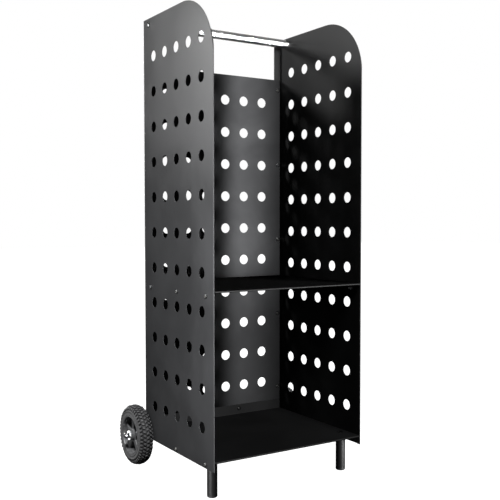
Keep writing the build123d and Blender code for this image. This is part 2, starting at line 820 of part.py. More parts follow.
def hex_nuts(seat, away, places, both_sides=False):
    """Nuts on the seat plane; away is +1 or -1 along the plane's normal."""
    with BuildPart() as nuts:
        with BuildSketch(seat):
            with Locations(*places):
                RegularPolygon(radius=m5_nut_flats / 2, side_count=6, major_radius=False)
                Circle(m5_shank / 2 + thread_gap, mode=Mode.SUBTRACT)
        extrude(amount=away * m5_nut_h)
        if both_sides:
            mirror(about=Plane.YZ)
    return nuts.part


# shelves to side panels: heads outside, nuts on the shelves' side flanges
for shelf_name, shelf_places in (
    ("mid_shelf", mid_screw_places),
    ("bottom_shelf", low_screw_places),
):
    save(shelf_name + "_screws", cross_screws(
        Plane.YZ.offset(-outer_x), 1, Axis.X, shelf_places, shank_len=9.0, both_sides=True
    ))
    save(shelf_name + "_nuts", hex_nuts(
        Plane.YZ.offset(-inner_x + sheet), 1, shelf_places, both_sides=True
    ))

# (name, y of the head seat, y of the nut seat, places, shank length); heads face the front
for joint_name, head_y, nut_y, joint_places, joint_shank in (
    ("back_panel", back_y - sheet, rear_y, back_screw_places, 9.0),
    ("axle_carrier", shelf_rear_y - sheet, back_y + carrier_t, carrier_screw_places, 11.0),
):
    save(joint_name + "_screws", cross_screws(
        Plane.XZ.offset(-head_y), -1, Axis.Y, joint_places, joint_shank
    ))
    save(joint_name + "_nuts", hex_nuts(Plane.XZ.offset(-nut_y), -1, joint_places))
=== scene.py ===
"""A two-shelf trolley with side and back panels, a handle tube, two wheels and two front legs.

Metres, +Z up. The front faces -Y, left is -X, and the wheels turn about an axle along X near
the back. The wheels are modelled here; every other piece is the CAD piece with a new material.
"""
import json
import math

import bmesh
import bpy
import numpy as np
from mathutils import Matrix, Vector


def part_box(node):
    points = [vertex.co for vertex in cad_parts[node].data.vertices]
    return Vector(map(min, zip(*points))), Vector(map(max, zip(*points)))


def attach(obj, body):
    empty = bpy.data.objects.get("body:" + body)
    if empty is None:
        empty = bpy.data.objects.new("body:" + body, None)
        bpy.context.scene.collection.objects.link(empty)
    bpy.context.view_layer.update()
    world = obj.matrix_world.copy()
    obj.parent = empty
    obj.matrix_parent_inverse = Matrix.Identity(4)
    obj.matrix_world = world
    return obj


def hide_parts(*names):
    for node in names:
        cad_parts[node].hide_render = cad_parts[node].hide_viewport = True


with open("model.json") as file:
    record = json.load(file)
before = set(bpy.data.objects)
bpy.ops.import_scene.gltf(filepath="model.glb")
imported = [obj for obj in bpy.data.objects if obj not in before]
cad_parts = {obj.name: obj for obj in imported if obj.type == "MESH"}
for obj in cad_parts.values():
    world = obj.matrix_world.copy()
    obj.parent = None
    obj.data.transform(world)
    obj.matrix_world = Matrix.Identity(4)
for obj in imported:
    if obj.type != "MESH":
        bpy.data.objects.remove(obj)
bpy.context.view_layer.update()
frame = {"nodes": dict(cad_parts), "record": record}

MM = 0.001
scene = bpy.context.scene
nodes = frame["nodes"]


# ---------------------------------------------------------------------------
# material helpers
# ---------------------------------------------------------------------------
class Material:
    """A Principled material being put together; node methods return an output socket."""

    def __init__(self, name):
        self.material = bpy.data.materials.new(name)
        self.material.use_nodes = True
        self.tree = self.material.node_tree
        self.tree.nodes.clear()
        output = self.node("ShaderNodeOutputMaterial")
        self.shader = self.node("ShaderNodeBsdfPrincipled")
        self.feed(output.inputs[0], self.shader.outputs[0])
        self.position = self.node("ShaderNodeTexCoord").outputs["Object"]

    def feed(self, socket, value):
        """Link a socket into an input, or set the input to a plain value."""
        if isinstance(value, bpy.types.NodeSocket):
            self.tree.links.new(value, socket)
        else:
            socket.default_value = value

    def node(self, kind, **inputs):
        node = self.tree.nodes.new(kind)
        for name, value in inputs.items():
            self.feed(node.inputs[name.replace("_", " ")], value)
        return node

    def set(self, **inputs):
        for name, value in inputs.items():
            self.feed(self.shader.inputs[name.replace("_", " ")], value)

    def noise(self, scale, detail=3.0, rough=0.55, distortion=0.0, stretch=(1, 1, 1), seed=0.0):
        mapping = self.node("ShaderNodeMapping", Vector=self.position, Scale=stretch,
                            Location=(seed, seed * 0.7, seed * 1.3))
        return self.node("ShaderNodeTexNoise", Scale=scale, Detail=detail, Roughness=rough,
                         Distortion=distortion, Vector=mapping.outputs[0]).outputs["Fac"]

    def voronoi(self, scale):
        node = self.node("ShaderNodeTexVoronoi", Scale=scale, Vector=self.position)
        return node.outputs["Distance"]

    def remap(self, value, to=(0.0, 1.0), over=(0.3, 0.7)):
        """Smooth step from to[0] to to[1] while value runs over the given span."""
        node = self.node("ShaderNodeMapRange", Value=value, From_Min=over[0], From_Max=over[1],
                         To_Min=to[0], To_Max=to[1])
        node.interpolation_type = "SMOOTHSTEP"
        return node.outputs["Result"]

    def math(self, operation, a, b):
        node = self.node("ShaderNodeMath")
        node.operation = operation
        self.feed(node.inputs[0], a)
        self.feed(node.inputs[1], b)
        return node.outputs[0]

    def add(self, a, b):
        return self.math("ADD", a, b)

    def times(self, a, b):
        return self.math("MULTIPLY", a, b)

    def mix(self, factor, a, b):
        """Blend two colours; each is a socket or an RGB tuple."""
        node = self.node("ShaderNodeMix")
        node.data_type = "RGBA"
        self.feed(node.inputs[0], factor)
        for index, colour in ((6, a), (7, b)):    # the colour inputs A and B
            rgba = (*colour, 1.0) if isinstance(colour, tuple) else colour
            self.feed(node.inputs[index], rgba)
        return node.outputs[2]

    def bump(self, height, strength, distance, normal):
        return self.node("ShaderNodeBump", Strength=strength, Distance=distance,
                         Height=height, Normal=normal).outputs[0]

    def rounded(self, radius):
        """Normal with the edges rounded."""
        node = self.node("ShaderNodeBevel", Radius=radius)
        node.samples = 6
        return node.outputs[0]

    def edge(self, rounded_normal):
        """0 on flat ground, towards 1 at an edge, where the rounded normal turns away."""
        geometry = self.node("ShaderNodeNewGeometry")
        dot = self.node("ShaderNodeVectorMath")
        dot.operation = "DOT_PRODUCT"
        self.feed(dot.inputs[0], rounded_normal)
        self.feed(dot.inputs[1], geometry.outputs["Normal"])
        return self.remap(dot.outputs["Value"], to=(1.0, 0.0), over=(0.6, 0.98))


def shade(colour, gain, lift=0.0):
    """A darker or lighter version of a colour."""
    return tuple(min(1.0, c * gain + lift) for c in colour)


# ---------------------------------------------------------------------------
# materials
# ---------------------------------------------------------------------------
def powder_coat(name, base, rough, seed=0.0, edge_wear_and_highlight=0.35, edge_wear_and_highlight_colour=None):
    """Satin powder coat: orange peel, fine grain, handling haze, and edges lightened partly as
    thinner film and partly as a painted edge highlight.
    """
    M = Material(name)
    peel = M.noise(scale=420.0, detail=2.0, rough=0.5, seed=seed)
    grain = M.noise(scale=2600.0, detail=2.0, rough=0.6, seed=seed + 3)
    haze = M.noise(scale=5.0, detail=4.0, rough=0.6, distortion=0.4, seed=seed + 7)
    speck = M.voronoi(scale=700.0)
    normal = M.rounded(radius=0.0006)
    edge = M.edge(normal)
    normal = M.bump(peel, strength=0.10, distance=0.0004, normal=normal)
    normal = M.bump(grain, strength=0.16, distance=0.00008, normal=normal)

    colour = M.mix(M.remap(haze, over=(0.35, 0.68)), shade(base, gain=0.86), shade(base, gain=1.16))
    dust = M.times(M.remap(speck, to=(0.22, 0.0), over=(0.02, 0.12)),
                   M.remap(grain, over=(0.5, 0.72)))
    colour = M.mix(M.times(dust, 0.5), colour, shade(base, gain=2.2, lift=0.008))
    # edges lighter: worn film plus a painted edge highlight, strongest on the shelves
    colour = M.mix(M.times(edge, edge_wear_and_highlight), colour, edge_wear_and_highlight_colour or shade(base, gain=2.0, lift=0.008))
    roughness = M.add(M.remap(haze, to=(rough - 0.035, rough + 0.05)),
                      M.remap(grain, to=(-0.025, 0.03)))
    M.set(Normal=normal, Base_Color=colour, Roughness=roughness, Specular_IOR_Level=0.5, IOR=1.5)
    return M.material


def chrome(name, rough, stretch=(1, 1, 1)):
    """Bright chrome plate with faint polishing lines, stretched as given, and a breath of haze."""
    M = Material(name)
    lines = M.noise(scale=160.0, rough=0.6, stretch=stretch)
    haze = M.noise(scale=22.0, rough=0.6, distortion=0.3, seed=4.0)
    pits = M.noise(scale=1500.0, detail=2.0, rough=0.5, seed=9.0)
    normal = M.bump(lines, strength=0.05, distance=0.00004, normal=M.rounded(radius=0.0004))
    normal = M.bump(pits, strength=0.04, distance=0.00003, normal=normal)
    colour = M.mix(M.remap(haze), (0.80, 0.81, 0.82), (0.90, 0.90, 0.905))
    roughness = M.add(M.remap(haze, to=(rough * 0.7, rough * 1.5)),
                      M.remap(lines, to=(-0.01, 0.015)))
    M.set(Normal=normal, Base_Color=colour, Roughness=roughness, Metallic=1.0)
    return M.material


def zinc(name, rough):
    """Bright zinc plate: faint spangle, blue-yellow passivation tint, fine marks."""
    M = Material(name)
    spangle = M.voronoi(scale=900.0)
    tint = M.noise(scale=160.0, rough=0.6, distortion=0.6, seed=2.0)
    marks = M.noise(scale=1400.0, detail=2.0, rough=0.5, seed=6.0)
    normal = M.rounded(radius=0.0003)
    edge = M.edge(normal)
    normal = M.bump(marks, strength=0.12, distance=0.00005, normal=normal)

    colour = M.mix(M.remap(tint, over=(0.35, 0.65)), (0.56, 0.58, 0.62), (0.70, 0.69, 0.64))
    flakes = M.remap(spangle, to=(1.0, 0.0), over=(0.0, 0.5))
    colour = M.mix(M.times(flakes, 0.35), colour, (0.78, 0.79, 0.80))
    colour = M.mix(M.times(edge, 0.4), colour, (0.85, 0.85, 0.86))
    roughness = M.add(M.remap(spangle, to=(rough - 0.06, rough + 0.06), over=(0.0, 0.5)),
                      M.remap(tint, to=(-0.03, 0.03)))
    M.set(Normal=normal, Base_Color=colour, Roughness=roughness, Metallic=1.0)
    return M.material


def plastic(name, base, rough, grain_scale=1800.0, grain_depth=0.12, seed=0.0):
    """Moulded plastic: fine grain, flow variation, slightly paler worn edges."""
    M = Material(name)
    grain = M.noise(scale=grain_scale, detail=2.0, rough=0.6, seed=seed)
    flow = M.noise(scale=60.0, rough=0.6, distortion=0.8, seed=seed + 5)
    normal = M.rounded(radius=0.0006)
    edge = M.edge(normal)
    normal = M.bump(grain, strength=grain_depth, distance=0.00012, normal=normal)

    colour = M.mix(M.remap(flow), shade(base, gain=0.82), shade(base, gain=1.15))
    colour = M.mix(M.times(edge, 0.4), colour, shade(base, gain=1.9, lift=0.015))
    roughness = M.add(M.remap(flow, to=(rough - 0.05, rough + 0.06)),
                      M.remap(grain, to=(-0.03, 0.04)))
    M.set(Normal=normal, Base_Color=colour, Roughness=roughness, Specular_IOR_Level=0.5)
    return M.material


def rubber(name, base, rough):
    """Tyre rubber: fine moulded grain, grey bloom, painted highlight on block edges, painted shade
    in the grooves.
    """
    M = Material(name)
    grain = M.noise(scale=1500.0, rough=0.6)
    bloom = M.noise(scale=70.0, detail=4.0, rough=0.65, distortion=0.5, seed=3.0)
    scuff = M.noise(scale=420.0, rough=0.6, seed=8.0)
    normal = M.rounded(radius=0.0009)
    edge = M.edge(normal)
    normal = M.bump(scuff, strength=0.18, distance=0.0004, normal=normal)
    normal = M.bump(grain, strength=0.25, distance=0.00014, normal=normal)
    # ambient occlusion picks out the grooves; it drives painted shade there and fades the specular
    occlusion = M.node("ShaderNodeAmbientOcclusion", Distance=0.005)
    occlusion.samples = 6
    openness = M.remap(occlusion.outputs["AO"], over=(0.5, 0.98))    # 0 deep in a groove

    colour = M.mix(M.remap(bloom, over=(0.35, 0.7)), shade(base, gain=0.75), shade(base, gain=1.3))
    scuffed = M.times(M.remap(scuff, over=(0.5, 0.75)), 0.35)
    colour = M.mix(scuffed, colour, shade(base, gain=2.2, lift=0.01))
    # painted highlight: block and ridge edges lightened to pale grey
    colour = M.mix(M.times(edge, 0.7), colour, shade(base, gain=3.2, lift=0.03))
    # painted shade: the colour falls to near black deep in the grooves
    colour = M.mix(openness, shade(base, gain=0.12), colour)
    roughness = M.add(M.remap(bloom, to=(rough - 0.08, rough + 0.08)),
                      M.remap(grain, to=(-0.04, 0.04)))
    M.set(Normal=normal, Base_Color=colour, Roughness=roughness, Sheen_Weight=0.1,
          Sheen_Roughness=0.5, Specular_IOR_Level=M.times(openness, 0.45))
    return M.material


MATERIALS = {
    "panel_black": powder_coat("powder_coat_panel", base=(0.0130, 0.0132, 0.0138), rough=0.42),
    # the shelves get a stronger, paler edge colour: a painted highlight along their lit edge lines
    "shelf_black": powder_coat("powder_coat_shelf", base=(0.0085, 0.0086, 0.0090), rough=0.46,
                               seed=11.0, edge_wear_and_highlight=0.5, edge_wear_and_highlight_colour=(0.05, 0.05, 0.052)),
    "leg_black": powder_coat("powder_coat_leg", base=(0.013, 0.013, 0.0136), rough=0.36,
                             seed=23.0),
    "chrome": chrome("chrome_plate", rough=0.08),
    "chrome_tube": chrome("chrome_tube", rough=0.19, stretch=(1, 60, 60)),
    "zinc": zinc("zinc_plate", rough=0.3),
    "plastic_black": plastic("moulded_black", base=(0.022, 0.022, 0.023), rough=0.5),
    "rim_plastic": plastic("moulded_rim", base=(0.075, 0.076, 0.079), rough=0.42,
                           grain_scale=1200.0, grain_depth=0.10, seed=31.0),
    "bush_plastic": plastic("nylon", base=(0.62, 0.61, 0.57), rough=0.45,
                            grain_scale=2200.0, grain_depth=0.08, seed=41.0),
    "tyre": rubber("tyre_rubber", base=(0.050, 0.050, 0.052), rough=0.62),
}


def dress_cad_pieces():
    """Give every CAD piece its material and shade it smooth up to a crease."""
    slot_of = {part["node"]: part["material_slot"] for part in frame["record"]["subparts"]}
    for name, piece in nodes.items():
        me = piece.data
        me.materials.clear()
        me.materials.append(MATERIALS["chrome_tube" if name == "handle_tube" else slot_of[name]])
        me.polygons.foreach_set("use_smooth", [True] * len(me.polygons))
        me.set_sharp_from_angle(angle=math.radians(28))


dress_cad_pieces()


# ---------------------------------------------------------------------------
# mesh helpers
# ---------------------------------------------------------------------------
def weld(me, distance):
    """Merge close vertices and turn the normals outward."""
    bm = bmesh.new()
    bm.from_mesh(me)
    bmesh.ops.remove_doubles(bm, verts=bm.verts, dist=distance)
    bmesh.ops.recalc_face_normals(bm, faces=bm.faces)
    bm.to_mesh(me)
    bm.free()


def add_object(name, data):
    new = bpy.data.objects.new(name, data)
    scene.collection.objects.link(new)
    return new


def mesh_object(name, verts, faces, merge):
    me = bpy.data.meshes.new(name)
    me.from_pydata(verts, [], faces)
    me.validate()
    weld(me, merge)
    return add_object(name, me)


def smooth_by_angle(piece, degrees):
    """Smooth shading, with open edges and edges above the angle kept sharp."""
    bm = bmesh.new()
    bm.from_mesh(piece.data)
    for face in bm.faces:
        face.smooth = True
    for e in bm.edges:
        e.smooth = len(e.link_faces) == 2 and e.calc_face_angle(0.0) <= math.radians(degrees)
    bm.to_mesh(piece.data)
    bm.free()


def union(piece, other):
    """Join other into piece as one solid and remove other."""
    modifier = piece.modifiers.new("u", "BOOLEAN")
    modifier.operation = "UNION"
    modifier.solver = "EXACT"
    modifier.object = other
    bpy.context.view_layer.update()
    depsgraph = bpy.context.evaluated_depsgraph_get()
    joined = bpy.data.meshes.new_from_object(piece.evaluated_get(depsgraph))
    old = piece.data
    piece.modifiers.clear()
    piece.data = joined
    bpy.data.meshes.remove(old)
    bpy.data.objects.remove(other)
    weld(joined, 2e-6)    # slivers a boolean leaves along the seams


# ---------------------------------------------------------------------------
# wheels: built on the left, where outward is -X, and mirrored to the right
# A section point is (u, r): u along the axle from the wheel's middle, r from the axle.
# ---------------------------------------------------------------------------
tyre_lo, tyre_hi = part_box("tyre_left")
rim_lo, rim_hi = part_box("rim_left")
WHEEL_X = (tyre_hi.x + tyre_lo.x) / 2
AXLE_Y = (tyre_lo.y + tyre_hi.y) / 2
AXLE_Z = (tyre_lo.z + tyre_hi.z) / 2
TYRE_R = (tyre_hi.z - tyre_lo.z) / 2
TYRE_HALF = (tyre_hi.x - tyre_lo.x) / 2
HUB_HALF = (rim_hi.x - rim_lo.x) / 2

# tread
PITCHES = 46                   # blocks in a row
PITCH = 9                      # divisions in a pitch
BLOCK = 5                      # divisions a block covers
BLOCK_CELLS = 3                # cells across a block
AROUND = PITCHES * PITCH
TREAD_DEPTH = 3.7 * MM
CROWN_ANGLE = math.radians(84)
CROWN_POWER = 2.35             # superellipse exponent
SHOULDER_R = 57.0 * MM
# kind and width in mm along the crown, from -X to +X
TREAD_ROWS = [("gap", 0.7), ("lug", 7.0), ("gap", 2.4), ("odd", 5.6), ("gap", 2.4), ("even", 5.6),
              ("gap", 2.4), ("odd", 5.6), ("gap", 2.4), ("lug", 7.0), ("gap", 0.7)]
# divisions a row is shifted round the wheel, lean of its blocks
ROW_KINDS = {"lug": (0, 0.35), "even": (0, 1.0), "odd": (PITCH // 2, -1.0)}
BLOCK_LEVELS = [(0.84, 0.10), (1.0, 0.30)]     # share of the block height, taper inward
# (u, r) in mm down the +X side wall and in along the bead seat
WALL = [(16.2, 56.3), (16.5, 55.6), (16.5, 54.6), (15.9, 54.1), (15.75, 53.6), (15.7, 50.2),
        (15.75, 49.5), (16.2, 49.1), (16.5, 48.7), (16.5, 47.7), (16.2, 47.2), (16.1, 46.6),
        (16.3, 45.6), (16.3, 45.05), (13.6, 45.05), (11.6, 43.45)]


def wheel_point(u, r, angle):
    """A section point turned about the axle; angle 0 is straight up."""
    return (WHEEL_X + u, AXLE_Y + r * math.sin(angle), AXLE_Z + r * math.cos(angle))


def crown_point(s):
    """Envelope of the tread at s in -1..1, from shoulder to shoulder."""
    c, sn = math.cos(s * CROWN_ANGLE), math.sin(s * CROWN_ANGLE)
    power = 2 / CROWN_POWER
    u = math.copysign(abs(sn) ** power, sn) * TYRE_HALF
    return u, SHOULDER_R + (TYRE_R - SHOULDER_R) * abs(c) ** power


def tread_lines():
    """Lines across the crown: points, outward normals and (first line, shift, lean) per row."""
    crown = np.array([crown_point(s) for s in np.linspace(-1, 1, 1201)])
    length = np.concatenate([[0], np.cumsum(np.hypot(*np.diff(crown, axis=0).T))])
    total = length[-1]
    row_sum = sum(width for _, width in TREAD_ROWS)
    lines, rows, done = [0.0], [], 0.0
    for kind, width in TREAD_ROWS:
        cells = 1
        if kind != "gap":
            cells = BLOCK_CELLS
            rows.append((len(lines) - 1, *ROW_KINDS[kind]))
        lines += [(done + width * (c + 1) / cells) / row_sum * total for c in range(cells)]
        done += width
    lines = np.array(lines)

    def at(where, axis):
        return np.interp(where, length, crown[:, axis])

    step = total * 1e-3
    along_u = at(lines + step, 0) - at(lines - step, 0)
    along_r = at(lines + step, 1) - at(lines - step, 1)
    size = np.hypot(along_u, along_r)
    return at(lines, 0), at(lines, 1), -along_r / size, along_u / size, rows


def tyre_mesh(seed):
    """One closed surface: bead seat, side walls and a crown of staggered rubber blocks."""
    crown_u, crown_r, out_u, out_r, rows = tread_lines()
    base_u = crown_u - out_u * TREAD_DEPTH
    base_r = crown_r - out_r * TREAD_DEPTH
    across = len(crown_u)
    verts, faces = [], []

    def vert(i, u, r):
        verts.append(wheel_point(u, r, 2 * math.pi * i / AROUND))
        return len(verts) - 1

    grid = [[vert(i, base_u[j], base_r[j]) for j in range(across)] for i in range(AROUND)]
    blocks = [(n * PITCH + shift, first, lean) for first, shift, lean in rows
              for n in range(PITCHES)]

    # groove floor between the blocks
    covered = np.zeros((AROUND, across - 1), bool)
    for i0, j0, _ in blocks:
        for i in range(i0, i0 + BLOCK):
            covered[i % AROUND, j0:j0 + BLOCK_CELLS] = True
    for i in range(AROUND):
        near, far = grid[i], grid[(i + 1) % AROUND]
        for j in range(across - 1):
            if not covered[i, j]:
                faces.append((near[j], far[j], far[j + 1], near[j + 1]))

    # blocks, each a little different in height, lean and place
    rng = np.random.default_rng(seed)
    for i0, j0, lean in blocks:
        i1, j1 = i0 + BLOCK, j0 + BLOCK_CELLS
        height = TREAD_DEPTH * (1.0 - 0.22 * rng.random())
        slant = lean * rng.uniform(0.75, 1.25)
        mid_i = i0 + BLOCK / 2 + rng.uniform(-0.35, 0.35)
        mid_u = crown_u[j0:j1 + 1].mean()
        rings = []
        for level, taper in BLOCK_LEVELS:
            ring = {}
            for i in range(i0, i1 + 1):
                for j in range(j0, j1 + 1):
                    if level < 1.0 and i0 < i < i1 and j0 < j < j1:
                        continue      # below the top only the outline is needed
                    u = base_u[j] + out_u[j] * height * level
                    r = base_r[j] + out_r[j] * height * level
                    turn = (mid_i + (i - mid_i) * (1 - taper)
                            + slant * (j - (j0 + j1) / 2) * 0.75 * level)
                    ring[(i, j)] = vert(turn, u + (mid_u - u) * taper * 0.9, r)
            rings.append(ring)
        low, top = rings
        outline = [(i, j0) for i in range(i0, i1)]
        outline += [(i1, j) for j in range(j0, j1)]
        outline += [(i, j1) for i in range(i1, i0, -1)]
        outline += [(i0, j) for j in range(j1, j0, -1)]
        for p, q in zip(outline, outline[1:] + outline[:1]):
            foot_p, foot_q = grid[p[0] % AROUND][p[1]], grid[q[0] % AROUND][q[1]]
            faces.append((foot_p, foot_q, low[q], low[p]))
            faces.append((low[p], low[q], top[q], top[p]))
        for i in range(i0, i1):
            for j in range(j0, j1):
                faces.append((top[(i, j)], top[(i + 1, j)], top[(i + 1, j + 1)], top[(i, j + 1)]))

    # side walls and bead seat, closing the section
    section = [(u * MM, r * MM) for u, r in WALL]
    section += [(-u, r) for u, r in reversed(section)]
    loops = [[line[-1] for line in grid]]
    loops += [[vert(i, u, r) for i in range(AROUND)] for u, r in section]
    loops.append([line[0] for line in grid])
    for a, b in zip(loops, loops[1:]):
        for i in range(AROUND):
            k = (i + 1) % AROUND
            faces.append((a[i], a[k], b[k], b[i]))

    used = sorted({v for face in faces for v in face})   # grid points under blocks have no face
    index = {v: n for n, v in enumerate(used)}
    return [verts[v] for v in used], [tuple(index[v] for v in face) for face in faces]


def revolved(name, profile, steps):
    """Closed (u, r) profile in mm turned about the axle."""
    verts = [wheel_point(u * MM, r * MM, 2 * math.pi * i / steps)
             for i in range(steps) for u, r in profile]
    count = len(profile)
    faces = []
    for i in range(steps):
        here, there = i * count, (i + 1) % steps * count
        for j in range(count):
            k = (j + 1) % count
            faces.append((here + j, here + k, there + k, there + j))
    return mesh_object(name, verts, faces, merge=1e-7)


# spoke plate, in mm
PLATE_R = 42.4
PLATE_EXTRUDE = 4.6            # half thickness without the bevel
PLATE_BEVEL = 1.3
PLATE_INSET = 8.0              # from the tyre's outer face
SPOKES = 5
WINDOW_OUTER_R, WINDOW_INNER_R = 40.2, 15.2
SPOKE_HALF_OUTER, SPOKE_HALF_INNER = 5.4, 4.6
WINDOW_CORNER = 3.2


def round_corner(before, corner, after, radius, steps=5):
    """Points of a curve that rounds the corner between two straight neighbours."""
    a, b, c = Vector(before), Vector(corner), Vector(after)
    to_a, to_c = (a - b).normalized(), (c - b).normalized()
    reach = min(radius / math.tan(to_a.angle(to_c) / 2),
                (a - b).length * 0.45, (c - b).length * 0.45)
    start, end = b + to_a * reach, b + to_c * reach
    points = []
    for i in range(steps + 1):
        s = i / steps
        points.append(tuple((1 - s) ** 2 * start + 2 * s * (1 - s) * b + s * s * end))
    return points


def window_outline(k):
    """Window between spoke k and the next; spoke 0 stands at 90 degrees."""
    step = 360 // SPOKES
    a0, a1 = math.radians(90 + step * k), math.radians(90 + step * (k + 1))
    outer_gap = math.asin(SPOKE_HALF_OUTER / WINDOW_OUTER_R)
    inner_gap = math.asin(SPOKE_HALF_INNER / WINDOW_INNER_R)
    ring = [(WINDOW_OUTER_R * math.cos(a), WINDOW_OUTER_R * math.sin(a))
            for a in np.linspace(a0 + outer_gap, a1 - outer_gap, 15)]
    last_outer = len(ring) - 1
    ring += [(WINDOW_INNER_R * math.cos(a), WINDOW_INNER_R * math.sin(a))
             for a in np.linspace(a1 - inner_gap, a0 + inner_gap, 7)]
    count = len(ring)
    points = []
    for i, point in enumerate(ring):
        if i in (0, last_outer, last_outer + 1, count - 1):
            points += round_corner(ring[i - 1], point, ring[(i + 1) % count], WINDOW_CORNER)
        else:
            points.append(point)
    return points


def spoke_plate():
    """Disc and spokes as one plate with rounded windows, from a filled outline."""
    curve = bpy.data.curves.new("spider", "CURVE")
    curve.dimensions = "2D"
    curve.fill_mode = "BOTH"
    curve.extrude = PLATE_EXTRUDE * MM
    curve.bevel_depth = PLATE_BEVEL * MM
    curve.bevel_resolution = 3
    curve.resolution_u = 1
    turns = [2 * math.pi * i / 160 for i in range(160)]
    disc = [(PLATE_R * math.cos(a), PLATE_R * math.sin(a)) for a in turns]
    for outline in [disc] + [window_outline(k) for k in range(SPOKES)]:
        spline = curve.splines.new("POLY")
        spline.points.add(len(outline) - 1)
        for point, (x, y) in zip(spline.points, outline):
            point.co = (x * MM, y * MM, 0, 1)
        spline.use_cyclic_u = True
    flat = add_object("spider", curve)
    bpy.context.view_layer.update()
    depsgraph = bpy.context.evaluated_depsgraph_get()
    me = bpy.data.meshes.new_from_object(flat.evaluated_get(depsgraph))
    bpy.data.objects.remove(flat)
    # into the wheel's plane: local x to +Y, local y to +Z, local z to -X
    me.transform(Matrix(((0, 0, -1, WHEEL_X), (1, 0, 0, AXLE_Y), (0, 1, 0, AXLE_Z), (0, 0, 0, 1))))
    weld(me, 2e-6)
    plate_half = PLATE_EXTRUDE + PLATE_BEVEL
    outward = (TYRE_HALF / MM - PLATE_INSET - plate_half) * MM
    me.transform(Matrix.Translation((-outward, 0, 0)))
    return add_object("spider", me)


def build_rim():
    """Barrel with rolled lips, spoke plate and stepped hub, joined into one solid."""
    w = TYRE_HALF / MM
    h = HUB_HALF / MM
    # (u, r) in mm
    barrel = [(-w, 43.0), (-w + 0.35, 42.2), (-w + 1.4, 41.5), (-w + 3.2, 41.2), (0, 40.6),
              (w - 3.2, 41.2), (w - 1.4, 41.5), (w - 0.35, 42.2), (w, 43.0), (w, 44.4),
              (w - 0.5, 44.95), (w - 3.0, 44.95), (w - 5.0, 43.35), (-w + 5.0, 43.35),
              (-w + 3.0, 44.95), (-w + 0.5, 44.95), (-w, 44.4)]
    hub = [(-h, 7.02), (-h, 11.2), (-h + 0.8, 12.0), (-w + 6.5, 12.0), (-w + 7.4, 13.4),
           (-w + 9.0, 15.0), (-w + 19.0, 15.0), (-w + 20.6, 13.4), (-w + 21.4, 12.0),
           (h - 0.8, 12.0), (h, 11.2), (h, 7.02)]
    rim = revolved("barrel", barrel, steps=160)
    union(rim, spoke_plate())
    union(rim, revolved("hub", hub, steps=96))
    rim.name = "rim_left_moulded"
    rim.data.name = "rim_left_moulded"
    return rim


def fit_pair(left, part, right_name, slot, crease):
    """Finish the left piece, mirror it to the right and put both in place of the CAD parts."""
    left.data.materials.clear()
    left.data.materials.append(MATERIALS[slot])
    smooth_by_angle(left, crease)
    me = left.data.copy()
    me.transform(Matrix.Scale(-1, 4, (1, 0, 0)))
    me.flip_normals()
    right = add_object(right_name, me)
    for piece, side in ((left, "left"), (right, "right")):
        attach(piece, "wheel_" + side)
        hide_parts(part + "_" + side)
    return left, right


rims = fit_pair(build_rim(), "rim", "rim_right_moulded", slot="rim_plastic", crease=32)
tyre_left = mesh_object("tyre_left_treaded", *tyre_mesh(seed=5), merge=1e-6)
tyres = fit_pair(tyre_left, "tyre", "tyre_right_treaded", slot="tyre", crease=38)


# ---------------------------------------------------------------------------
# camera
# ---------------------------------------------------------------------------
def add_camera():
    """Camera in front of the trolley on its left; yaw turns from +Y towards +X, radians."""
    yaw, pitch, roll = 0.563808, -0.037770, -0.000691
    ahead = Vector((math.sin(yaw) * math.cos(pitch), math.cos(yaw) * math.cos(pitch),
                    math.sin(pitch)))
    right = ahead.cross(Vector((0, 0, 1))).normalized()
    up = right.cross(ahead)
    right, up = (right * math.cos(roll) + up * math.sin(roll),
                 -right * math.sin(roll) + up * math.cos(roll))
    data = bpy.data.cameras.new("camera")
    data.sensor_width = 36.0
    data.lens = 56.90232
    data.clip_start, data.clip_end = 0.05, 60
    camera = add_object("camera", data)
    rotation = Matrix((right, up, -ahead)).transposed().to_4x4()
    camera.matrix_world = Matrix.Translation((-0.9716, -1.5745, 0.5756)) @ rotation
    scene.camera = camera


add_camera()


# ---------------------------------------------------------------------------
# stage
# ---------------------------------------------------------------------------
def add_floor():
    me = bpy.data.meshes.new("floor")
    bm = bmesh.new()
    bmesh.ops.create_grid(bm, x_segments=8, y_segments=8, size=14.0)
    bm.to_mesh(me)
    bm.free()
    floor = add_object("floor", me)
    floor.location.z = -0.0006
    M = Material("floor_white")
    colour = M.mix(M.noise(scale=3.0), (0.92, 0.92, 0.92), (0.94, 0.94, 0.94))
    M.set(Base_Color=colour, Roughness=0.9, Specular_IOR_Level=0.1)
    me.materials.append(M.material)
    floor.visible_glossy = False
    floor.visible_diffuse = False
    return floor


def add_world():
    """White to the camera, a faint glow to everything else."""
    world = bpy.data.worlds.new("studio")
    scene.world = world
    world.use_nodes = True
    tree = world.node_tree
    tree.nodes.clear()
    output = tree.nodes.new("ShaderNodeOutputWorld")
    path = tree.nodes.new("ShaderNodeLightPath")
    mix = tree.nodes.new("ShaderNodeMixShader")
    tree.links.new(path.outputs["Is Camera Ray"], mix.inputs[0])
    for socket, strength in ((2, 1.0), (1, 0.022)):    # seen by the camera, by other rays
        background = tree.nodes.new("ShaderNodeBackground")
        background.inputs[0].default_value = (1, 1, 1, 1)
        background.inputs[1].default_value = strength
        tree.links.new(background.outputs[0], mix.inputs[socket])
    tree.links.new(mix.outputs[0], output.inputs[0])


floor = add_floor()
add_world()


# ---------------------------------------------------------------------------
# lights: each lights only the pieces it lists, as a flagged studio light would
# ---------------------------------------------------------------------------
def collect(name, pieces):
    group = bpy.data.collections.new(name)
    for piece in pieces:
        group.objects.link(piece)
    return group


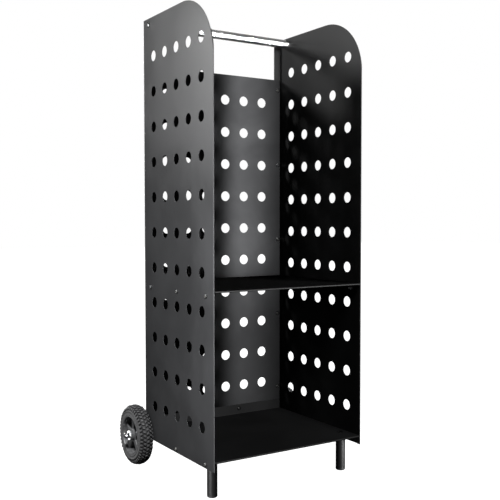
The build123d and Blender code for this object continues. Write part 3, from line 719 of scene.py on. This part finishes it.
def softbox(name, place, aim, size, power, lit, spread=None, blockers=None, bounces=1024,
            glossy=True, mis=True):
    """Rectangular light. Only blockers, if given, cast its shadows; glossy shows its reflection;
    mis is multiple importance sampling."""
    data = bpy.data.lights.new(name, "AREA")
    data.shape = "RECTANGLE"
    data.size, data.size_y = size
    data.energy = power
    data.cycles.max_bounces = bounces
    if spread:
        data.spread = math.radians(spread)
    if not mis:
        data.cycles.use_multiple_importance_sampling = False
    light = add_object(name, data)
    light.location = place
    light.rotation_mode = "QUATERNION"
    light.rotation_quaternion = (Vector(place) - Vector(aim)).to_track_quat("Z", "Y")
    light.light_linking.receiver_collection = collect(name + "_on", lit)
    light.visible_camera = False
    light.visible_glossy = glossy
    if blockers is not None:
        light.light_linking.blocker_collection = collect(name + "_flags", blockers)
    return light


panels = [nodes["side_panel_left"], nodes["side_panel_right"]]
back, mid, bottom = [[nodes[n]] for n in ("back_panel", "mid_shelf", "bottom_shelf")]
tube = [nodes["handle_tube"]]
legs = [[nodes["front_leg_" + side], nodes["foot_cap_" + side]] for side in ("left", "right")]
nuts = [nodes["axle_cap_nut_left"], nodes["axle_cap_nut_right"]]
bright = [nodes["axle_washers_outer"], *nuts]
own_lights = {*panels, *back, *mid, *bottom, *tube, *legs[0], *legs[1], *bright}
small = [piece for piece in nodes.values() if piece not in own_lights]


def light_side(sign, side, panel, wheel, leg, leg_place, leg_power):
    """Lights of one side of the trolley; x is given outward and takes the side's sign."""

    def light(name, place, aim, **settings):
        softbox(name + "_" + side, (sign * place[0], *place[1:]), (sign * aim[0], *aim[1:]),
                **settings)

    on_panel = dict(lit=[panel], bounces=0)
    # outer face of the side panel
    light("side_upper", (1.3, 0.9, 1.7), (0.19, 0.22, 0.98), size=(0.6, 0.6), power=12.5,
          **on_panel)
    light("side_mid", (0.7, 0.25, 0.95), (0.19, 0.06, 0.66), size=(0.45, 0.45), power=4.6,
          **on_panel)
    light("side_low", (0.7, -0.45, 0.35), (0.19, -0.13, 0.46), size=(0.45, 0.45), power=5.5,
          glossy=False, **on_panel)
    light("side_front", (0.42, -0.56, 0.47), (0.19, -0.13, 0.47), size=(0.12, 0.62), power=24.0,
          glossy=False, **on_panel)
    # rear flange, from the front
    light("flange", (0.165, -3.0, 1.1), (0.18, 0.12, 0.9), size=(0.2, 0.9), power=110.0,
          **on_panel)
    # wheel: broad light from the side and behind, and a harder one across the tread
    light("wheel_side", (2.2, 0.9, 0.7), (0.2, 0.1, 0.1), size=(1.2, 1.2), power=17, lit=wheel)
    light("wheel_back", (1.3, 2.3, 0.9), (0.2, 0.1, 0.1), size=(1.4, 1.4), power=22, lit=wheel)
    light("wheel_tread", (1.0, -1.5, 2.2), (0.2, 0.1, 0.1), size=(0.22, 0.22), power=125,
          lit=wheel)
    # wheel washer and cap nut
    light("hub", (1.5, 2.0, 0.45), (0.23, 0.1, 0.08), size=(2.4, 2.4), power=200, lit=bright,
          blockers=bright, mis=False)
    light("hub_side", (2.2, -0.4, 0.9), (0.23, 0.1, 0.08), size=(1.6, 1.6), power=110, lit=bright,
          blockers=bright, mis=False)
    light("nut_front", (1.1, -1.8, 0.7), (0.23, 0.1, 0.08), size=(1.8, 1.8), power=70, lit=nuts,
          blockers=bright)
    light("leg", leg_place, (0.17, -0.16, 0.05), size=(1.8, 1.6), power=leg_power, lit=leg)
    light("flange_rear", (0.04, 2.8, 1.1), (0.18, 0.12, 0.5), size=(0.2, 1.4), power=40.0,
          **on_panel)


light_side(-1, "left", panels[0], [rims[0], tyres[0]], legs[0],
           leg_place=(1.9, -0.75, 0.4), leg_power=115)
light_side(1, "right", panels[1], [rims[1], tyres[1]], legs[1],
           leg_place=(1.1, -1.95, 0.4), leg_power=180)

# inner faces: light that comes over the top edge of the panel opposite
OVER_DISTANCE, OVER_Z = 2.2, 0.9
# degrees round from the front, degrees up, power, width and height
OVER_LIGHTS = [(125, 18, 11.5, 0.3), (100, 17, 10.5, 0.4), (60, 17, 5.5, 0.4)]
for sign, panel, side in ((-1, panels[1], "right"), (1, panels[0], "left")):
    for azimuth, elevation, power, width in OVER_LIGHTS:
        a, e = sign * math.radians(azimuth), math.radians(elevation)
        place = (OVER_DISTANCE * math.sin(a) * math.cos(e),
                 -OVER_DISTANCE * math.cos(a) * math.cos(e),
                 OVER_Z + OVER_DISTANCE * math.sin(e))
        softbox("over_%s_%d" % (side, azimuth), place, (-sign * 0.19, 0, OVER_Z),
                size=(width, width), power=power, lit=[panel], bounces=0)

# back panel: narrow strips from the front left, and broad light behind it
softbox("back_strip_upper", (-0.525, -0.704, 0.73), (0.062, 0.119, 0.73), size=(0.105, 0.62),
        power=2.7, lit=back, spread=13, bounces=0)
softbox("back_strip_lower", (-0.525, -0.704, 0.25), (0.062, 0.119, 0.25), size=(0.105, 0.36),
        power=0.75, lit=back, spread=13, bounces=0)
for sign in (-1, 1):
    softbox("rear_high_%d" % sign, (sign * 0.9, 2.4, 1.5), (0, 0.1, 0.5), size=(1.6, 1.6),
            power=45, lit=back, bounces=0)
    softbox("rear_low_%d" % sign, (sign * 1.5, 2.0, 0.5), (0, 0.1, 0.5), size=(1.4, 0.9),
            power=30, lit=back, bounces=0)

# shelves
softbox("mid_front", (0, -3.5, 0.6), (0, 0, 0.5), size=(1.6, 1.6), power=6, lit=mid, bounces=0)
softbox("bottom_front", (0, -2.2, 1.25), (0, 0, 0.1), size=(1.0, 0.8), power=55, lit=bottom,
        bounces=0)
softbox("shelf_lip", (1.2, -2.3, 0.30), (0, -0.2, 0.42), size=(1.2, 0.7), power=60, lit=mid,
        bounces=0)
softbox("shelf_edge", (1.0, -1.7, 2.6), (0, -0.2, 0.43), size=(0.4, 0.4), power=15, lit=mid,
        bounces=0)

# handle: a large light in front, a weak one overhead, two behind
softbox("handle_front", (0.52, -0.76, 0.80), (0.52, 0.09, 1.02), size=(1.8, 1.8), power=34,
        lit=tube, blockers=tube, mis=False)
softbox("handle_top", (0.3, 0.2, 3.0), (0, 0.09, 1.02), size=(3.0, 3.0), power=5.0,
        lit=tube, blockers=tube)
softbox("handle_rear", (0, 1.4, 0.9), (0, 0.09, 1.02), size=(2.8, 1.8), power=14.0,
        lit=tube, blockers=tube)
softbox("handle_back", (0, 1.5, 2.1), (0, 0.09, 1.02), size=(7.0, 1.2), power=25.0,
        lit=tube, blockers=tube)

# all the pieces without lights of their own
softbox("small_left", (-2.3, 0.9, 0.7), (0, 0, 0.3), size=(2.2, 2.0), power=20, lit=small)
softbox("small_right", (2.3, 0.9, 0.7), (0, 0, 0.3), size=(2.2, 2.0), power=20, lit=small)
softbox("small_front", (-0.6, -2.8, 1.4), (0, 0, 0.4), size=(1.6, 1.6), power=12, lit=small)
softbox("small_top", (0, 0.2, 3.2), (0, 0, 0.5), size=(2.4, 2.4), power=40, lit=small + bright)
softbox("small_rear", (0.8, 2.6, 1.2), (0, 0, 0.4), size=(1.8, 1.8), power=18,
        lit=small + legs[0] + legs[1])

# floor: what stands on it throws a soft contact shadow, thinned by a sun that throws none
feet = [*tyres, nodes["foot_cap_left"], nodes["foot_cap_right"]]
softbox("floor_key", (0, -0.3, 3.0), (0, 0, 0), size=(4.0, 4.0), power=16, lit=[floor],
        blockers=feet)
fill = softbox("floor_fill", (0, -0.3, 3.2), (0, 0, 0), size=(1.0, 1.0), power=4.3, lit=[floor],
               blockers=[floor])
fill.data.type = "SUN"
fill.data.angle = math.radians(20)

scene.view_settings.view_transform = "Standard"
scene.view_settings.look = "None"
scene.view_settings.exposure = 0.0
scene.view_settings.gamma = 1.0
